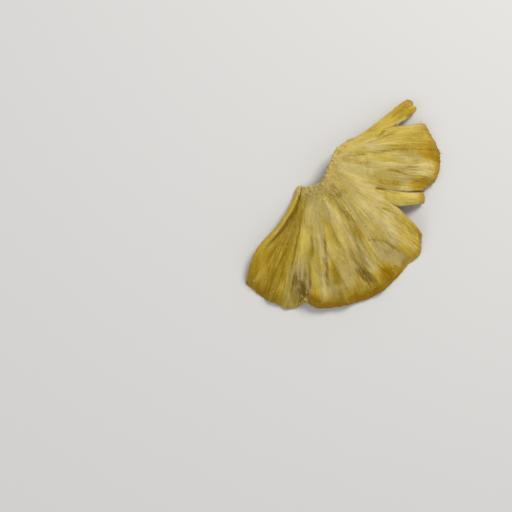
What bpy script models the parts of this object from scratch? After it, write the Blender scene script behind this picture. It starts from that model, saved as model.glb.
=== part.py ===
"""Dried pineapple slice: half a ring of the fruit, thin and curled, whose fibres fan out from the core.

The slice is a sheet with two faces and a wall round its edge. A point of the sheet is given by its share
across the fan, 0 at the long cut side and 1 at the last torn strip, and by its share along the fibre, 0 at
the core and 1 at the rim. Sizes are in millimetres until the mesh is made. X runs right, Y up the slice as it
is seen from above, and Z up from the table that it rests on.
"""

import bpy
import numpy as np

MM = 0.001

# Driving sizes
COLUMNS = 100             # steps across the fan
ROWS = 15                 # steps along a fibre
CROWDING = 0.5            # how much closer together the last rows are than the first
FIBRE_PULL = 0.9          # how far a fibre keeps its first and last direction, as a share of its chord
CORE_THICKNESS = 1.9      # the tough ring beside the core
MIDDLE_THICKNESS = 1.1
RIM_THICKNESS = 1.5
THINNEST = 0.7            # what stays over a foot that is pressed flat
CORE_BAND = 0.10          # how far the tough ring reaches along a fibre
RIM_CURL = 2.0            # how far the rim turns down
CURL_START = 0.84         # where along a fibre the rim starts to turn down
SETTLING = 0.3            # how far the feet are pressed flat by what they rest on
SIDE_LIP = 0.9            # how far the long cut side turns up
SIDE_LIP_WIDTH = 0.035
SIDE_BELLY = 1.1          # how far the long cut side swells outwards
SIDE_BELLY_PLACE = 0.66
SIDE_BELLY_LENGTH = 0.17
SIDE_BELLY_WIDTH = 0.04
PROBE = 1e-3              # step for the slope of the sheet
COLOUR = (0.52, 0.36, 0.08, 1.0)
ROUGHNESS = 0.42

# Guide fibres. Each has its share across the fan; the angle and radius of its core end about the core's
# centre, and the direction in which it leaves; the angle and radius of its rim end, and the direction in
# which it arrives; and its height at the core, half way and at the rim. Angles are in degrees from +X.
GUIDES = np.array((
    (0.00, -101.0, 11.3, -104.0, -113.9, 43.7, -102.0, 0.1, 3.4, 0.9),
    (0.08, -91.0, 11.4, -97.0, -103.0, 46.4, -109.0, 1.7, 4.8, 2.2),
    (0.20, -76.0, 11.6, -84.0, -90.0, 47.2, -95.0, 4.8, 6.6, 3.7),
    (0.31, -64.5, 11.2, -60.0, -76.6, 47.9, -85.0, 6.8, 7.2, 3.9),
    (0.43, -56.0, 10.2, -45.0, -62.0, 48.2, -60.0, 7.8, 7.0, 3.2),
    (0.53, -48.0, 9.5, -39.0, -48.5, 46.3, -46.0, 8.2, 6.6, 1.3),
    (0.62, -40.0, 9.0, -36.0, -29.8, 41.3, -20.0, 8.2, 7.0, 4.4),
    (0.67, -34.8, 8.8, -33.0, -20.3, 38.5, 0.0, 8.0, 7.0, 3.6),
    (0.74, -23.0, 8.7, -19.0, -12.5, 40.1, -10.0, 7.7, 7.2, 3.2),
    (0.83, -5.0, 9.2, 2.0, -1.3, 39.6, -6.0, 7.0, 7.0, 1.5),
    (0.92, 4.2, 11.6, 24.0, 18.1, 33.7, 34.0, 5.8, 6.6, 3.6),
    (0.96, 7.6, 12.7, 31.0, 21.8, 36.0, 34.0, 5.0, 6.0, 2.6),
    (1.00, 8.7, 13.8, 33.0, 26.1, 34.2, 34.0, 4.2, 5.4, 0.9),
))
(SHARE, CORE_ANGLE, CORE_RADIUS, LEAVING, RIM_ANGLE, RIM_RADIUS, ARRIVING,
 CORE_HEIGHT, MIDDLE_HEIGHT, RIM_HEIGHT) = GUIDES.T

# Nicks and bulges of the rim: place across the fan, depth (outwards is positive), half width
NICKS = (
    (0.145, 0.9, 0.030),
    (0.205, -1.8, 0.022),
    (0.568, 1.7, 0.020),
    (0.870, 0.3, 0.030),
)

# Tears: place across the fan, row where it starts, how far the lip of lower share and the lip of higher share
# move at the rim along X, Y and Z, and how far beside the tear each lip's bend reaches
TEARS = (
    (0.62, 8, (-0.7, -4.7, 0.4), (0.0, 4.7, -0.5), 0.035, 0.035),
    (0.67, 7, (-0.5, -0.5, -0.7), (0.2, 0.6, 0.9), 0.025, 0.060),
    (0.92, 6, (5.0, -2.5, -0.6), (0.0, 0.0, 0.8), 0.060, 0.100),
)
TEAR_SHAPE = 1.3          # a tear opens slowly at first
TEAR_CALM = 0.85          # how much of the folds is gone beside a tear, where the sheet hangs loose
TEAR_CALM_WIDTH = 0.06
TEAR_THINNING = 0.35      # how much thinner the sheet is at its torn lips
TEAR_THINNING_WIDTH = 0.015

# Folds of the sheet that fan out to the rim: folds across the whole fan, height at the rim, phase in turns
FOLDS = (
    (4.5, 0.55, 0.10),
    (9.0, 0.50, 0.35),
    (17.0, 0.28, 0.80),
)
FOLD_GROWTH = 1.4         # how the folds grow from the core to the rim


def hermite(u, start, start_slope, end, end_slope):
    """The cubic from start to end with the given slopes at its ends."""
    return (
        ((2 * u - 3) * u * u + 1) * start
        + ((u - 2) * u + 1) * u * start_slope
        + (3 - 2 * u) * u * u * end
        + (u - 1) * u * u * end_slope
    )


def across(values, s):
    """A smooth curve through one value for each guide fibre, read at the shares s."""
    slopes = np.gradient(values, SHARE)
    i = np.clip(np.searchsorted(SHARE, s, side="right") - 1, 0, len(SHARE) - 2)
    span = SHARE[i + 1] - SHARE[i]
    u = (s - SHARE[i]) / span
    return hermite(u, values[i], span * slopes[i], values[i + 1], span * slopes[i + 1])


def along(row):
    """The share along the fibre at a row. Rows lie closer together towards the rim."""
    u = row / ROWS
    return u * (1 + CROWDING * (1 - u))


def heading(degrees):
    angle = np.radians(degrees)
    return np.stack((np.cos(angle), np.sin(angle)), axis=-1)


def ease(u):
    """0 below 0 and 1 above 1, with a smooth step between."""
    u = np.clip(u, 0, 1)
    return u * u * (3 - 2 * u)


def bump(x, centre, width):
    return np.exp(-(((x - centre) / width) ** 2))


def plan(s, t):
    """X and Y of the sheet before it tears."""
    core = heading(across(CORE_ANGLE, s)) * across(CORE_RADIUS, s)[..., None]
    reach = across(RIM_RADIUS, s) + sum(depth * bump(s, place, width) for place, depth, width in NICKS)
    rim = heading(across(RIM_ANGLE, s)) * reach[..., None]
    pull = FIBRE_PULL * np.linalg.norm(rim - core, axis=-1)[..., None]
    leaving = heading(across(LEAVING, s)) * pull
    arriving = heading(across(ARRIVING, s)) * pull
    xy = hermite(t[..., None], core, leaving, rim, arriving)
    swell = SIDE_BELLY * np.exp(-s / SIDE_BELLY_WIDTH) * bump(t, SIDE_BELLY_PLACE, SIDE_BELLY_LENGTH)
    return xy[..., 0] - swell, xy[..., 1] + 0.6 * swell


def beside_a_tear(s, width):
    """1 on a tear's line and 0 well away from every tear."""
    return np.max([np.exp(-np.abs(s - tear[0]) / width) for tear in TEARS], axis=0)


def height(s, t):
    """Height of the middle of the sheet: an umbrella with folds, a rim that turns down and a raised side."""
    core = across(CORE_HEIGHT, s)
    middle = across(MIDDLE_HEIGHT, s)
    rim = across(RIM_HEIGHT, s)
    dome = core + (4 * middle - 3 * core - rim) * t + (2 * core + 2 * rim - 4 * middle) * t * t
    folds = sum(size * np.sin(2 * np.pi * (count * s + phase)) for count, size, phase in FOLDS)
    folds *= 1 - TEAR_CALM * beside_a_tear(s, TEAR_CALM_WIDTH)
    curl = RIM_CURL * ease((t - CURL_START) / (1 - CURL_START)) ** 2
    lip = SIDE_LIP * np.exp(-s / SIDE_LIP_WIDTH) * np.sin(np.pi * t)
    return dome + folds * t**FOLD_GROWTH - curl + lip - SETTLING


def thickness(s, t):
    core = (CORE_THICKNESS - MIDDLE_THICKNESS) * np.exp(-((t / CORE_BAND) ** 2))
    rim = (RIM_THICKNESS - MIDDLE_THICKNESS) * ease((t - 0.5) / 0.5)
    torn = TEAR_THINNING * beside_a_tear(s, TEAR_THINNING_WIDTH) * ease(2 * t - 0.6)
    return (MIDDLE_THICKNESS + core + rim) * (1 - torn)


def middle_of_sheet(s, t, lip):
    """Points half way through the sheet. lip is -1 or 1 on a tear's lips and 0 elsewhere."""
    x, y = plan(s, t)
    point = np.stack((x, y, height(s, t)), axis=-1)
    for place, first_row, low_way, high_way, low_bend, high_bend in TEARS:
        start = along(first_row)
        opened = np.clip((t - start) / (1 - start), 0, 1) ** TEAR_SHAPE
        side = np.where(np.isclose(s, place), lip, np.sign(s - place))
        away = np.abs(s - place)
        low = (side < 0) * opened * np.exp(-away / low_bend)
        high = (side > 0) * opened * np.exp(-away / high_bend)
        point = point + low[..., None] * np.array(low_way) + high[..., None] * np.array(high_way)
    return point


def faces_of_sheet(s, t, lip):
    """The upper and the lower face, half a thickness to each side of the middle."""
    middle = middle_of_sheet(s, t, lip)
    left = np.clip(s - PROBE * (lip <= 0), 0, 1)
    right = np.clip(s + PROBE * (lip >= 0), 0, 1)
    slope_across = middle_of_sheet(right, t, lip) - middle_of_sheet(left, t, lip)
    slope_along = (middle_of_sheet(s, np.clip(t + PROBE, 0, 1), lip)
                   - middle_of_sheet(s, np.clip(t - PROBE, 0, 1), lip))
    normal = np.cross(slope_along, slope_across)
    normal /= np.linalg.norm(normal, axis=-1)[..., None]
    half = 0.5 * thickness(s, t)[..., None] * normal
    upper, lower = middle + half, middle - half
    lower[..., 2] = np.maximum(lower[..., 2], 0)
    upper[..., 2] = np.maximum(upper[..., 2], lower[..., 2] + THINNEST * np.abs(normal[..., 2]))
    return upper, lower


def grid_of_sheet():
    """One entry per grid point: its two shares and, on a tear, its lip; and where each column's entries are.

    A column on a tear has one entry for each row up to where the tear starts, and two below it.
    """
    torn = {round(tear[0] * COLUMNS): tear[1] for tear in TEARS}
    entries = []
    left_of, right_of = {}, {}
    for column in range(COLUMNS + 1):
        for row in range(ROWS + 1):
            shares = (column / COLUMNS, along(row))
            if row > torn.get(column, ROWS):
                left_of[column, row] = len(entries)
                entries.append((*shares, -1))
                right_of[column, row] = len(entries)
                entries.append((*shares, 1))
            else:
                left_of[column, row] = right_of[column, row] = len(entries)
                entries.append((*shares, 0))
    return np.array(entries, float), left_of, right_of


def quads_of_sheet(left_of, right_of, entries):
    """The quads of the upper face, then of the lower one, then a wall wherever a quad has no neighbour."""
    upper = [
        (right_of[c, r], right_of[c, r + 1], left_of[c + 1, r + 1], left_of[c + 1, r])
        for c in range(COLUMNS)
        for r in range(ROWS)
    ]
    edges = [(quad[k], quad[(k + 1) % 4]) for quad in upper for k in range(4)]
    inner = set(edges)
    walls = [(b, a, a + entries, b + entries) for a, b in edges if (b, a) not in inner]
    lower = [tuple(v + entries for v in reversed(quad)) for quad in upper]
    return upper + lower + walls


def slice_material():
    material = bpy.data.materials.new("dried_fruit_flesh")
    material.use_nodes = True
    shader = material.node_tree.nodes["Principled BSDF"]
    shader.inputs["Base Color"].default_value = COLOUR
    shader.inputs["Roughness"].default_value = ROUGHNESS
    shader.inputs["Metallic"].default_value = 0.0
    return material


def pineapple_slice():
    entries, left_of, right_of = grid_of_sheet()
    upper, lower = faces_of_sheet(*entries.T)
    points = np.concatenate((upper, lower))
    low, high = points.min(axis=0), points.max(axis=0)
    points -= ((low[0] + high[0]) / 2, (low[1] + high[1]) / 2, low[2])
    mesh = bpy.data.meshes.new("pineapple_slice")
    mesh.from_pydata((points * MM).tolist(), [], quads_of_sheet(left_of, right_of, len(entries)))
    mesh.validate()
    mesh.shade_smooth()
    mesh.materials.append(slice_material())
    made = bpy.data.objects.new("pineapple_slice", mesh)
    bpy.context.scene.collection.objects.link(made)
    return made


def main():
    for old in list(bpy.data.objects):
        bpy.data.objects.remove(old, do_unlink=True)
    pineapple_slice()


main()
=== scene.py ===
"""Looks of a dried pineapple slice: a thin, curled half ring whose fibres fan from the core.

The slice is a sheet with two faces and a round edge. A point of the sheet is given by its share across the
fan, 0 at the long cut side and 1 at the last torn strip, and by its share along the fibre, 0 at the core and
1 at the rim. Sizes are in millimetres until a mesh is made.
"""

import bmesh
import bpy
import numpy as np
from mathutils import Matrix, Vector, noise


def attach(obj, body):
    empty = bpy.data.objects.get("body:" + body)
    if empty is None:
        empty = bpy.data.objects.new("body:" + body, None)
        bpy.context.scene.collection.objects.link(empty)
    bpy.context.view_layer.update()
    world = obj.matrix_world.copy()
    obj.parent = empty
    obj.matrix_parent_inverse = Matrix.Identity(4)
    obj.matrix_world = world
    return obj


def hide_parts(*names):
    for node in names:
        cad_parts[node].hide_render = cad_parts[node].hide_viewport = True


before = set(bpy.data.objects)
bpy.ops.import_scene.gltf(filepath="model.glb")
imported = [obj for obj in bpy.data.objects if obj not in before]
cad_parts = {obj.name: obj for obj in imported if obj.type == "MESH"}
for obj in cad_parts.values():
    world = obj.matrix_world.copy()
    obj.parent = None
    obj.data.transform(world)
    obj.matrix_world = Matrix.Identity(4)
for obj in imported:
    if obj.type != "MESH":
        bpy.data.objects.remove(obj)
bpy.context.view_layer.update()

MM = 0.001
BODY = "root"
NODE = "pineapple_slice"

# The solid's own sizes, as the frame has them
CORE_CENTRE = np.array((-11.575, 16.172, 0.0))  # centre of the core's curve in the frame
FIBRE_PULL = 0.9  # how far a fibre keeps its first and last direction, as a share of its chord
CORE_THICKNESS = 1.9  # the tough ring beside the core
MIDDLE_THICKNESS = 1.1
RIM_THICKNESS = 1.5
THINNEST = 0.55  # what stays over a foot that is pressed flat
CORE_BAND = 0.1  # how far the tough ring reaches along a fibre
RIM_CURL = 2.0  # how far the rim turns down
CURL_START = 0.84  # where along a fibre the rim starts to turn down
SETTLING = 0.3  # how far the feet are pressed flat by what they rest on
SIDE_LIP = 0.9  # how far the long cut side turns up
SIDE_LIP_WIDTH = 0.035
SIDE_BELLY = 1.1  # how far the long cut side swells outwards
SIDE_BELLY_PLACE = 0.66
SIDE_BELLY_LENGTH = 0.17
SIDE_BELLY_WIDTH = 0.04
SIDE_BELLY_RISE = 0.6  # how much of the swelling goes along Y too

# Guide fibres: share across; angle and radius of the core end about the core's centre, and direction there;
# the same for the rim end; height at the core, half way and at the rim. Angles are in degrees from +X.
GUIDES = np.array((
    (0, -101, 11.3, -104, -113.9, 43.7, -102, 0.1, 3.4, 0.9),
    (0.08, -91, 11.4, -97, -103, 46.4, -109, 1.7, 4.8, 2.2),
    (0.2, -76, 11.6, -84, -90, 47.2, -95, 4.8, 6.6, 3.7),
    (0.31, -64.5, 11.2, -60, -76.6, 47.9, -85, 6.8, 7.2, 3.9),
    (0.43, -56, 10.2, -45, -62, 48.2, -60, 7.8, 7, 3.2),
    (0.53, -48, 9.5, -39, -48.5, 46.3, -46, 8.2, 6.6, 1.3),
    (0.62, -40, 9, -36, -29.8, 41.3, -20, 8.2, 7, 4.4),
    (0.67, -34.8, 8.8, -33, -20.3, 38.5, 0, 8, 7, 3.6),
    (0.74, -23, 8.7, -19, -12.5, 40.1, -10, 7.7, 7.2, 3.2),
    (0.83, -5, 9.2, 2, -1.3, 39.6, -6, 7, 7, 1.5),
    (0.92, 4.2, 11.6, 24, 18.1, 33.7, 34, 5.8, 6.6, 3.6),
    (0.96, 7.6, 12.7, 31, 21.8, 36, 34, 5, 6, 2.6),
    (1, 8.7, 13.8, 33, 26.1, 34.2, 34, 4.2, 5.4, 0.9),
))
(SHARE, CORE_ANGLE, CORE_RADIUS, LEAVING, RIM_ANGLE, RIM_RADIUS, ARRIVING,
 CORE_HEIGHT, MIDDLE_HEIGHT, RIM_HEIGHT) = GUIDES.T

# Nicks and bulges of the rim: place across, depth (outwards is positive), half width. The last four shape
# the tip of the last strip and the corner beside it, too finely for the solid.
NICKS = (
    (0.145, 0.9, 0.03), (0.205, -1.8, 0.022), (0.568, 1.7, 0.02), (0.87, 0.3, 0.03),
    (0.918, -0.7, 0.008), (0.945, 0.3, 0.01), (0.968, -1.1, 0.009), (0.99, 0.5, 0.012),
)

# Tears: place across, share along the fibre where it starts, how far the lip of lower share and the lip of
# higher share move at the rim along X, Y and Z, and how far beside the tear each lip's bend reaches
TEARS = (
    (0.62, 0.6578, (-0.7, -4.7, 0.4), (0.0, 5.2, -0.5), 0.035, 0.035),
    (0.67, 0.5911, (-0.4, -0.1, -0.9), (0.2, 0.6, 0.9), 0.025, 0.06),
    (0.92, 0.52, (5.0, -2.5, -0.6), (0.0, 0.0, 0.8), 0.06, 0.1),
)
TEAR_SHAPE = 1.3  # a tear opens slowly at first
TEAR_CALM = 0.85  # how much of the folds is gone beside a tear, where the sheet hangs loose
TEAR_CALM_WIDTH = 0.06
TEAR_THINNING = 0.35  # how much thinner the sheet is at its torn lips
TEAR_THINNING_WIDTH = 0.015

# Folds of the sheet that fan out to the rim: folds across the whole fan, height at the rim, phase in turns
FOLDS = ((4.5, 0.55, 0.1), (9.0, 0.5, 0.35), (17.0, 0.28, 0.8))
FOLD_GROWTH = 1.4  # how the folds grow from the core to the rim

# The fine mesh
COLUMNS = 600  # steps across the fan, which put a column on each tear
ROWS = 74  # steps along a fibre
CORE_CROWDING = 3.0  # how much closer together the rows are at the core than half way
RIM_CROWDING = 1.2
CROWDED_LENGTH = 0.08
EDGE_RINGS = 4  # rings of points round the edge, between the two faces
EDGE_BULGE = 0.4  # how far the edge bulges, as a share of the thickness
EDGE_REACH = 1.6  # how far inside the edge the sheet draws in to make room for the bulge
RIM_ROOM = 0.45  # how much of the bulge the sheet makes room for, at the rim, core, sides and tears
CORE_ROOM = 0.25
SIDE_ROOM = 0.75
TEAR_ROOM = (0.4, 0.4, -0.3)
PROBE = 1e-3  # step for the slope of the sheet
MASKS = ("crest", "fibrous", "window", "tone", "yellow", "gold", "amber", "grain")  # read by the material

# How strands lean away from the guides: place across, width, shift, share of the fibre over which it grows
LEANS = ((0.33, 0.17, 0.12, 1.0), (0.43, 0.1, 0.05, 0.25))

# Round bundles of strands: counts across the fan and along a fibre, height at the core and at the rim, seed
BUNDLES = ((24.0, 1.5, 0.14, 0.22, 3.0), (52.0, 2.4, 0.06, 0.1, 23.0))
# Single strands, narrow and raised
STRANDS = ((56.0, 1.8, 0.04, 0.13, 17.0), (100.0, 2.4, 0.02, 0.1, 41.0), (170.0, 3.6, 0.01, 0.06, 67.0))
STRAND_BREADTH = 0.26  # how broad a single strand is, as a share of its cell
GROOVE_SHARPNESS = 2.4  # how narrow the grooves between bundles are
SWAY = 1.1  # how far strands drift sideways, in their own widths
SWAY_STEP = 0.22  # how fast the drift changes across the fan and along a fibre
SWAY_LENGTHS = 4.5
SHOWN_STRANDS = (0.25, 0.85)  # how much of them shows on plain flesh, and how much more on fibrous flesh
LEAST_FIBROUS = 0.14
WINDOW_CALM = 0.7  # how much of them is gone in a window
WRINKLE_START = 0.2  # where along the fibre the wrinkles are full

# Sums of noises. Each has its height, how many times across the fan and along a fibre, and its seed.
WRINKLES = ((0.22, 9.0, 3.2, 5.0), (0.1, 22.0, 7.0, 29.0))
PATCH_BORDER = ((0.35, 55.0, 8.0, 71.0), (0.3, 160.0, 14.0, 75.0))
CREASE_WANDER = ((0.35, 70.0, 16.0, 121.0),)  # in millimetres
RING_BORDER = ((0.045, 26.0, 14.0, 33.0),)
RIM_BORDER = ((0.05, 15.0, 2.0, 91.0), (0.04, 55.0, 4.0, 93.0))

# Every patch has its places across and along, half width, half length, lean (share across for one whole
# share along) and strength, all in thousandths.
THOUSAND = 1000
SOFT, MEDIUM, FIRM, CRISP = 0.5, 0.55, 0.8, 1.1  # how sharp a patch's border is
# Thin windows between the strands, sunk and grey; the grey is partly the thin flesh's own and partly painted
# shade of what lies beneath
WINDOWS = (
    (170, 785, 38, 165, 180, 1000), (510, 790, 28, 170, 170, 850), (400, 795, 20, 110, 220, 750),
    (333, 730, 16, 80, 100, 500), (253, 690, 6, 120, 60, 750), (236, 440, 11, 150, 100, 450),
    (208, 280, 12, 90, 0, 300), (480, 600, 16, 60, 200, 300),
)
WINDOW_DEPTH = (0.325, 0.175)  # how far a window sinks on the upper and on the lower face
# Where strands stand out most
FIBROUS = (
    (75, 700, 60, 340, 20, 600), (110, 150, 60, 130, 50, 700), (300, 180, 90, 140, 350, 600),
    (420, 260, 80, 180, 300, 400), (270, 520, 50, 200, 150, 350), (585, 760, 40, 230, 0, 900),
    (850, 650, 60, 280, 60, 450), (750, 450, 40, 200, 0, 300), (960, 600, 50, 400, 0, 400),
)
# Cloudy pale pulp. The pale patches on the lobe between the last two tears, from 700 to 860 across, are
# partly painted light on that lobe.
PALE = (
    (434, 780, 9, 200, 120, 600), (490, 700, 20, 80, 300, 550), (522, 830, 12, 100, 170, 400),
    (170, 705, 12, 60, 100, 700), (330, 450, 18, 280, 140, 450), (255, 800, 7, 140, 40, 500),
    (560, 420, 45, 130, 100, 550), (632, 430, 35, 130, 0, 600), (705, 250, 80, 170, 0, 550),
    (770, 500, 12, 150, 0, 550), (765, 840, 28, 120, 100, 750), (170, 230, 45, 100, 0, 450),
    (150, 420, 36, 110, 100, 450), (330, 290, 30, 110, 400, 450), (660, 880, 12, 120, 0, 950),
    (243, 620, 8, 170, 100, 450), (570, 680, 12, 130, 0, 400), (572, 800, 20, 80, 50, 450),
    (370, 520, 20, 120, 200, 350), (860, 300, 30, 200, 100, 400),
)
# Darker, clearer flesh, and painted shade: the shadow in the groove beside the long cut side and dark
# shading lines near the core
DARK_FLESH_AND_SHADE = (
    (166, 850, 35, 105, 180, 850), (401, 800, 17, 100, 220, 800), (504, 760, 10, 110, 170, 350),
    (478, 900, 30, 70, 100, 450), (60, 740, 80, 380, 0, 220), (340, 860, 30, 80, 100, 200),
    (290, 720, 18, 90, 150, 600), (430, 500, 30, 70, 100, 320), (50, 230, 20, 150, -120, 800),
    (120, 780, 12, 180, 50, 320), (146, 760, 12, 110, 150, 420), (440, 190, 70, 35, 1500, 250),
    (380, 120, 70, 25, 1300, 200), (365, 640, 10, 80, 300, 400), (200, 65, 110, 22, 0, 450),
    (870, 780, 14, 150, 100, 150), (955, 20, 50, 80, 0, 550), (630, 80, 80, 90, 0, 250),
    (440, 880, 40, 60, 0, 350), (340, 640, 40, 100, 150, 250), (970, 840, 40, 180, 0, 500),
)
# Bright yellow flesh
YELLOW = (
    (150, 450, 44, 130, 100, 950), (214, 720, 13, 200, 60, 900), (278, 480, 14, 140, 150, 650),
    (320, 560, 12, 100, 100, 400), (645, 740, 18, 160, 0, 1000), (950, 500, 50, 350, 100, 900),
    (890, 230, 30, 190, 200, 800), (748, 520, 7, 80, 0, 500), (30, 120, 25, 120, 0, 600),
    (110, 600, 30, 100, 0, 350),
)
# Golden, half clear flesh
GOLD = (
    (0, 740, 34, 240, 0, 900), (0, 300, 30, 300, 0, 300), (60, 930, 70, 80, 0, 800),
    (232, 920, 21, 90, 50, 1000), (590, 880, 38, 150, 0, 650), (553, 900, 16, 120, 160, 950),
    (702, 880, 32, 105, 0, 1000), (830, 870, 37, 100, 0, 1000), (970, 900, 45, 260, 0, 900),
    (960, 600, 50, 350, 0, 400), (650, 980, 30, 60, 0, 800), (478, 900, 36, 90, 0, 900),
    (60, 680, 60, 360, 0, 550), (440, 890, 45, 60, 0, 800), (290, 720, 16, 90, 150, 600),
    (440, 520, 25, 60, 150, 350), (272, 430, 10, 120, 100, 300), (20, 150, 30, 150, 0, 550),
    (390, 860, 30, 80, 100, 400), (870, 60, 30, 60, 0, 500), (870, 750, 50, 300, 0, 500),
)
AMBER = (
    (476, 915, 28, 65, 100, 1000), (360, 975, 70, 40, 0, 700), (232, 945, 20, 60, 0, 950),
    (30, 990, 30, 40, 0, 600), (830, 940, 34, 60, 0, 600), (700, 890, 32, 85, 0, 450),
)
# The side's band is painted paler, partly its pale cut face and partly painted light on the raised band; its
# groove is painted darker with painted shade.
PALER = 0.34  # how much paler or darker the patches, the side's band and its groove are
DARKER = 0.38
BAND_PALER = 0.35
GROOVE_SHADE = 0.4
GOLD_START = 0.85  # where along the fibre the rim turns golden and amber, and over what share
GOLD_FADE = 0.09
AMBER_START = 0.915
AMBER_FADE = 0.04
# Amber of the rim that turns down: share across, strength
AMBER_RIM = np.array((
    (0.0, 0.6), (0.05, 0.6), (0.09, 0.2), (0.19, 0.15), (0.215, 0.9), (0.3, 1.0), (0.5, 1.0), (0.54, 0.45),
    (0.57, 0.45), (0.62, 0.5), (0.67, 0.5), (0.75, 0.6), (0.8, 0.7), (0.89, 0.6), (0.92, 0.3), (1.0, 0.3),
))
# Overall tone: share across, how much paler or darker. The darker left of the fan, which slopes away from
# the light, is painted shade.
TONE_AND_SHADE_ACROSS = np.array((
    (0.0, -0.05), (0.04, -0.18), (0.08, -0.2), (0.14, -0.04), (0.3, -0.05), (0.45, -0.05), (0.55, 0.04),
    (0.65, -0.02), (0.75, -0.03), (0.85, -0.03), (0.92, 0.1), (1.0, 0.08),
))

# Swellings of the whole sheet, with their height in thousandths of a millimetre as strength
SWELLINGS = (
    (770, 830, 34, 100, 0, 900), (585, 820, 16, 150, 0, 450), (445, 780, 12, 180, 120, 450),
    (235, 880, 20, 70, 0, 450), (125, 500, 20, 220, 50, 400), (215, 700, 12, 220, 50, 350),
    (300, 350, 15, 150, 100, 250),
)

# Creases: places across and along, in thousandths, half width and depth in millimetres, and how much painted
# shade darkens them
CREASES = (
    (((455, 600), (490, 625), (518, 690), (535, 780), (541, 880)), 0.24, 0.18, 0.26),
    (((705, 365), (735, 345), (765, 330), (803, 295)), 0.22, 0.1, 0.16),
    (((788, 90), (795, 200), (810, 320)), 0.22, 0.12, 0.22),
    (((672, 815), (690, 800), (712, 790), (738, 775)), 0.26, 0.15, 0.06),
    (((738, 775), (737, 680), (745, 560), (742, 450)), 0.26, 0.2, 0.24),
    (((652, 460), (660, 530), (668, 610)), 0.28, 0.3, 0.55),
    (((192, 640), (205, 740), (210, 840), (205, 930)), 0.3, 0.2, 0.3),
    (((165, 370), (190, 430), (204, 520), (207, 640)), 0.26, 0.12, 0.24),
    (((362, 600), (385, 700), (415, 840), (428, 930)), 0.25, 0.12, 0.12),
    (((300, 90), (350, 140), (410, 190), (470, 210)), 0.4, 0.14, 0.12),
    (((350, 200), (385, 300), (430, 400), (462, 460)), 0.35, 0.16, 0.14),
    (((888, 430), (903, 520), (918, 600)), 0.28, 0.25, 0.4),
    (((621, 600), (640, 586), (662, 602)), 0.25, 0.12, 0.16),
    (((575, 480), (590, 560), (598, 700)), 0.28, 0.18, 0.28),
    (((820, 400), (832, 560), (838, 760)), 0.35, 0.18, 0.22),
    (((868, 300), (880, 480), (895, 680)), 0.3, 0.15, 0.2),
    (((450, 760), (462, 840), (478, 910), (490, 960)), 0.22, 0.18, 0.35),
    (((245, 300), (252, 480), (262, 700), (262, 860)), 0.3, 0.18, 0.26),
    (((110, 260), (104, 400), (112, 560), (118, 760)), 0.35, 0.2, 0.24),
)

# Frayed outline: how far it strays, in millimetres, and how many times across the fan or along a tear
RIM_FRAY = ((0.32, 34.0), (0.3, 90.0), (0.24, 240.0))
TIP_FRAY = 1.2  # how much more the last strip's tip is frayed, and where across the fan
TIP_START = 0.93
TIP_FADE = 0.03
CORE_FRAY = ((0.25, 26.0), (0.16, 60.0))
LIP_FRAY = ((0.2, 14.0), (0.12, 45.0))
FRAY_REACH = 0.07  # how far along the fibre the fray of the rim and core reaches
LIP_REACH = 0.5  # how far in millimetres the fray of a tear and of a cut side reaches
SIDE_REACH = 0.6
LIP_FADE = 0.08  # over what share of the fibre a tear's fray and room come in
LIP_ROOM_FADE = 0.15

# Grains of the tough core ring
GRAIN = 1.0  # size of a grain
GRAIN_HEIGHT = 0.5
GRAIN_START = 0.055  # how far along a fibre the ring is all grains, and over what share they thin out
GRAIN_FADE = 0.05

# The long cut side: a rounded band with a groove beside it
BAND_MIDDLE = 0.8
BAND_WIDTH = 0.6
BAND_HEIGHT = 0.45
GROOVE_PLACE = 1.9
GROOVE_WIDTH = 0.3
GROOVE_DEPTH = 0.6
BAND_END = 0.58  # where along the fibre the band fades out

# Raised strands
TUBE_SIDES = 5
STRAND_SEED = 7
STRAND_TRIES = 2600
STRAND_POINTS = 9
STRAND_RUN = (0.015, 0.08)  # lengths, as a share of the fibre
STRAND_WIDTH = (0.09, 0.22)
STRAND_SWAY = 0.0016
STRAND_STARTS = (0.05, 0.93)  # where along the fibre they start, and where the last ones end
STRAND_END = 0.97
STRAND_PLACES = (0.02, 0.985)
STRAND_CHANCE = (0.06, 0.8)  # chance of a strand on plain flesh, and how much more on fibrous flesh
UPPER_SHARE = 0.72

# Loose hairs
HAIR_SEED = 11
HAIR_POINTS = 12
HAIR_WIDTH = (0.07, 0.14)
HAIR_ROOT = 0.03  # how deep in the sheet a hair starts
HAIR_DROOP = 0.03
HAIR_FLATNESS = 0.8  # how much of a bend out of the sheet's plane is lost
BOLD_HAIR = 2.2  # how much thicker and paler the longest hairs are
# Hairs of the rim and the upper face: count, places across and along, ways, lengths and curls
RIM_HAIRS = (90, (0.01, 0.99), (0.955, 0.995), ((-0.35, 0.7, -0.2), (0.35, 1.0, 0.3)), (0.5, 1.5), (2.0, 6))
FACE_HAIRS = (60, (0.05, 0.95), (0.12, 0.85), ((-0.6, 0.3, 0.05), (0.6, 0.9, 0.3)), (0.6, 1.8), (4.0, 12))
LIP_HAIRS = 9  # hairs of each lip of a tear
# The longest hairs: place across, place along, way across, along and up, length, curl
LONG_HAIRS = (
    (0.9215, 0.8, (-0.9, 0.1, 0.1), 3, 5), (0.9185, 0.9, (0.8, -0.2, 0.3), 2.4, 6),
    (0.472, 0.7, (0.6, 0.5, 0.2), 2.2, 22), (0.48, 0.48, (0.5, 0.8, 0.2), 1.9, 9),
    (0.56, 0.56, (0.9, 0.4, 0.3), 2, 12),
)

# Grains of sugar
GRAIN_SEED = 5
GRAIN_COUNT = 90
GRAIN_SIZE = (0.14, 0.32)
# Clusters of grains: places across and along, how many, spread
GRAIN_CLUSTERS = (
    (0.205, 0.96, 12, 0.02), (0.18, 0.93, 6, 0.025), (0.588, 0.915, 2, 0.006),
    (0.665, 0.98, 4, 0.012), (0.3, 0.15, 6, 0.05), (0.43, 0.33, 5, 0.04),
)
SUGAR = (0.92, 0.78, 0.34)

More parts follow.
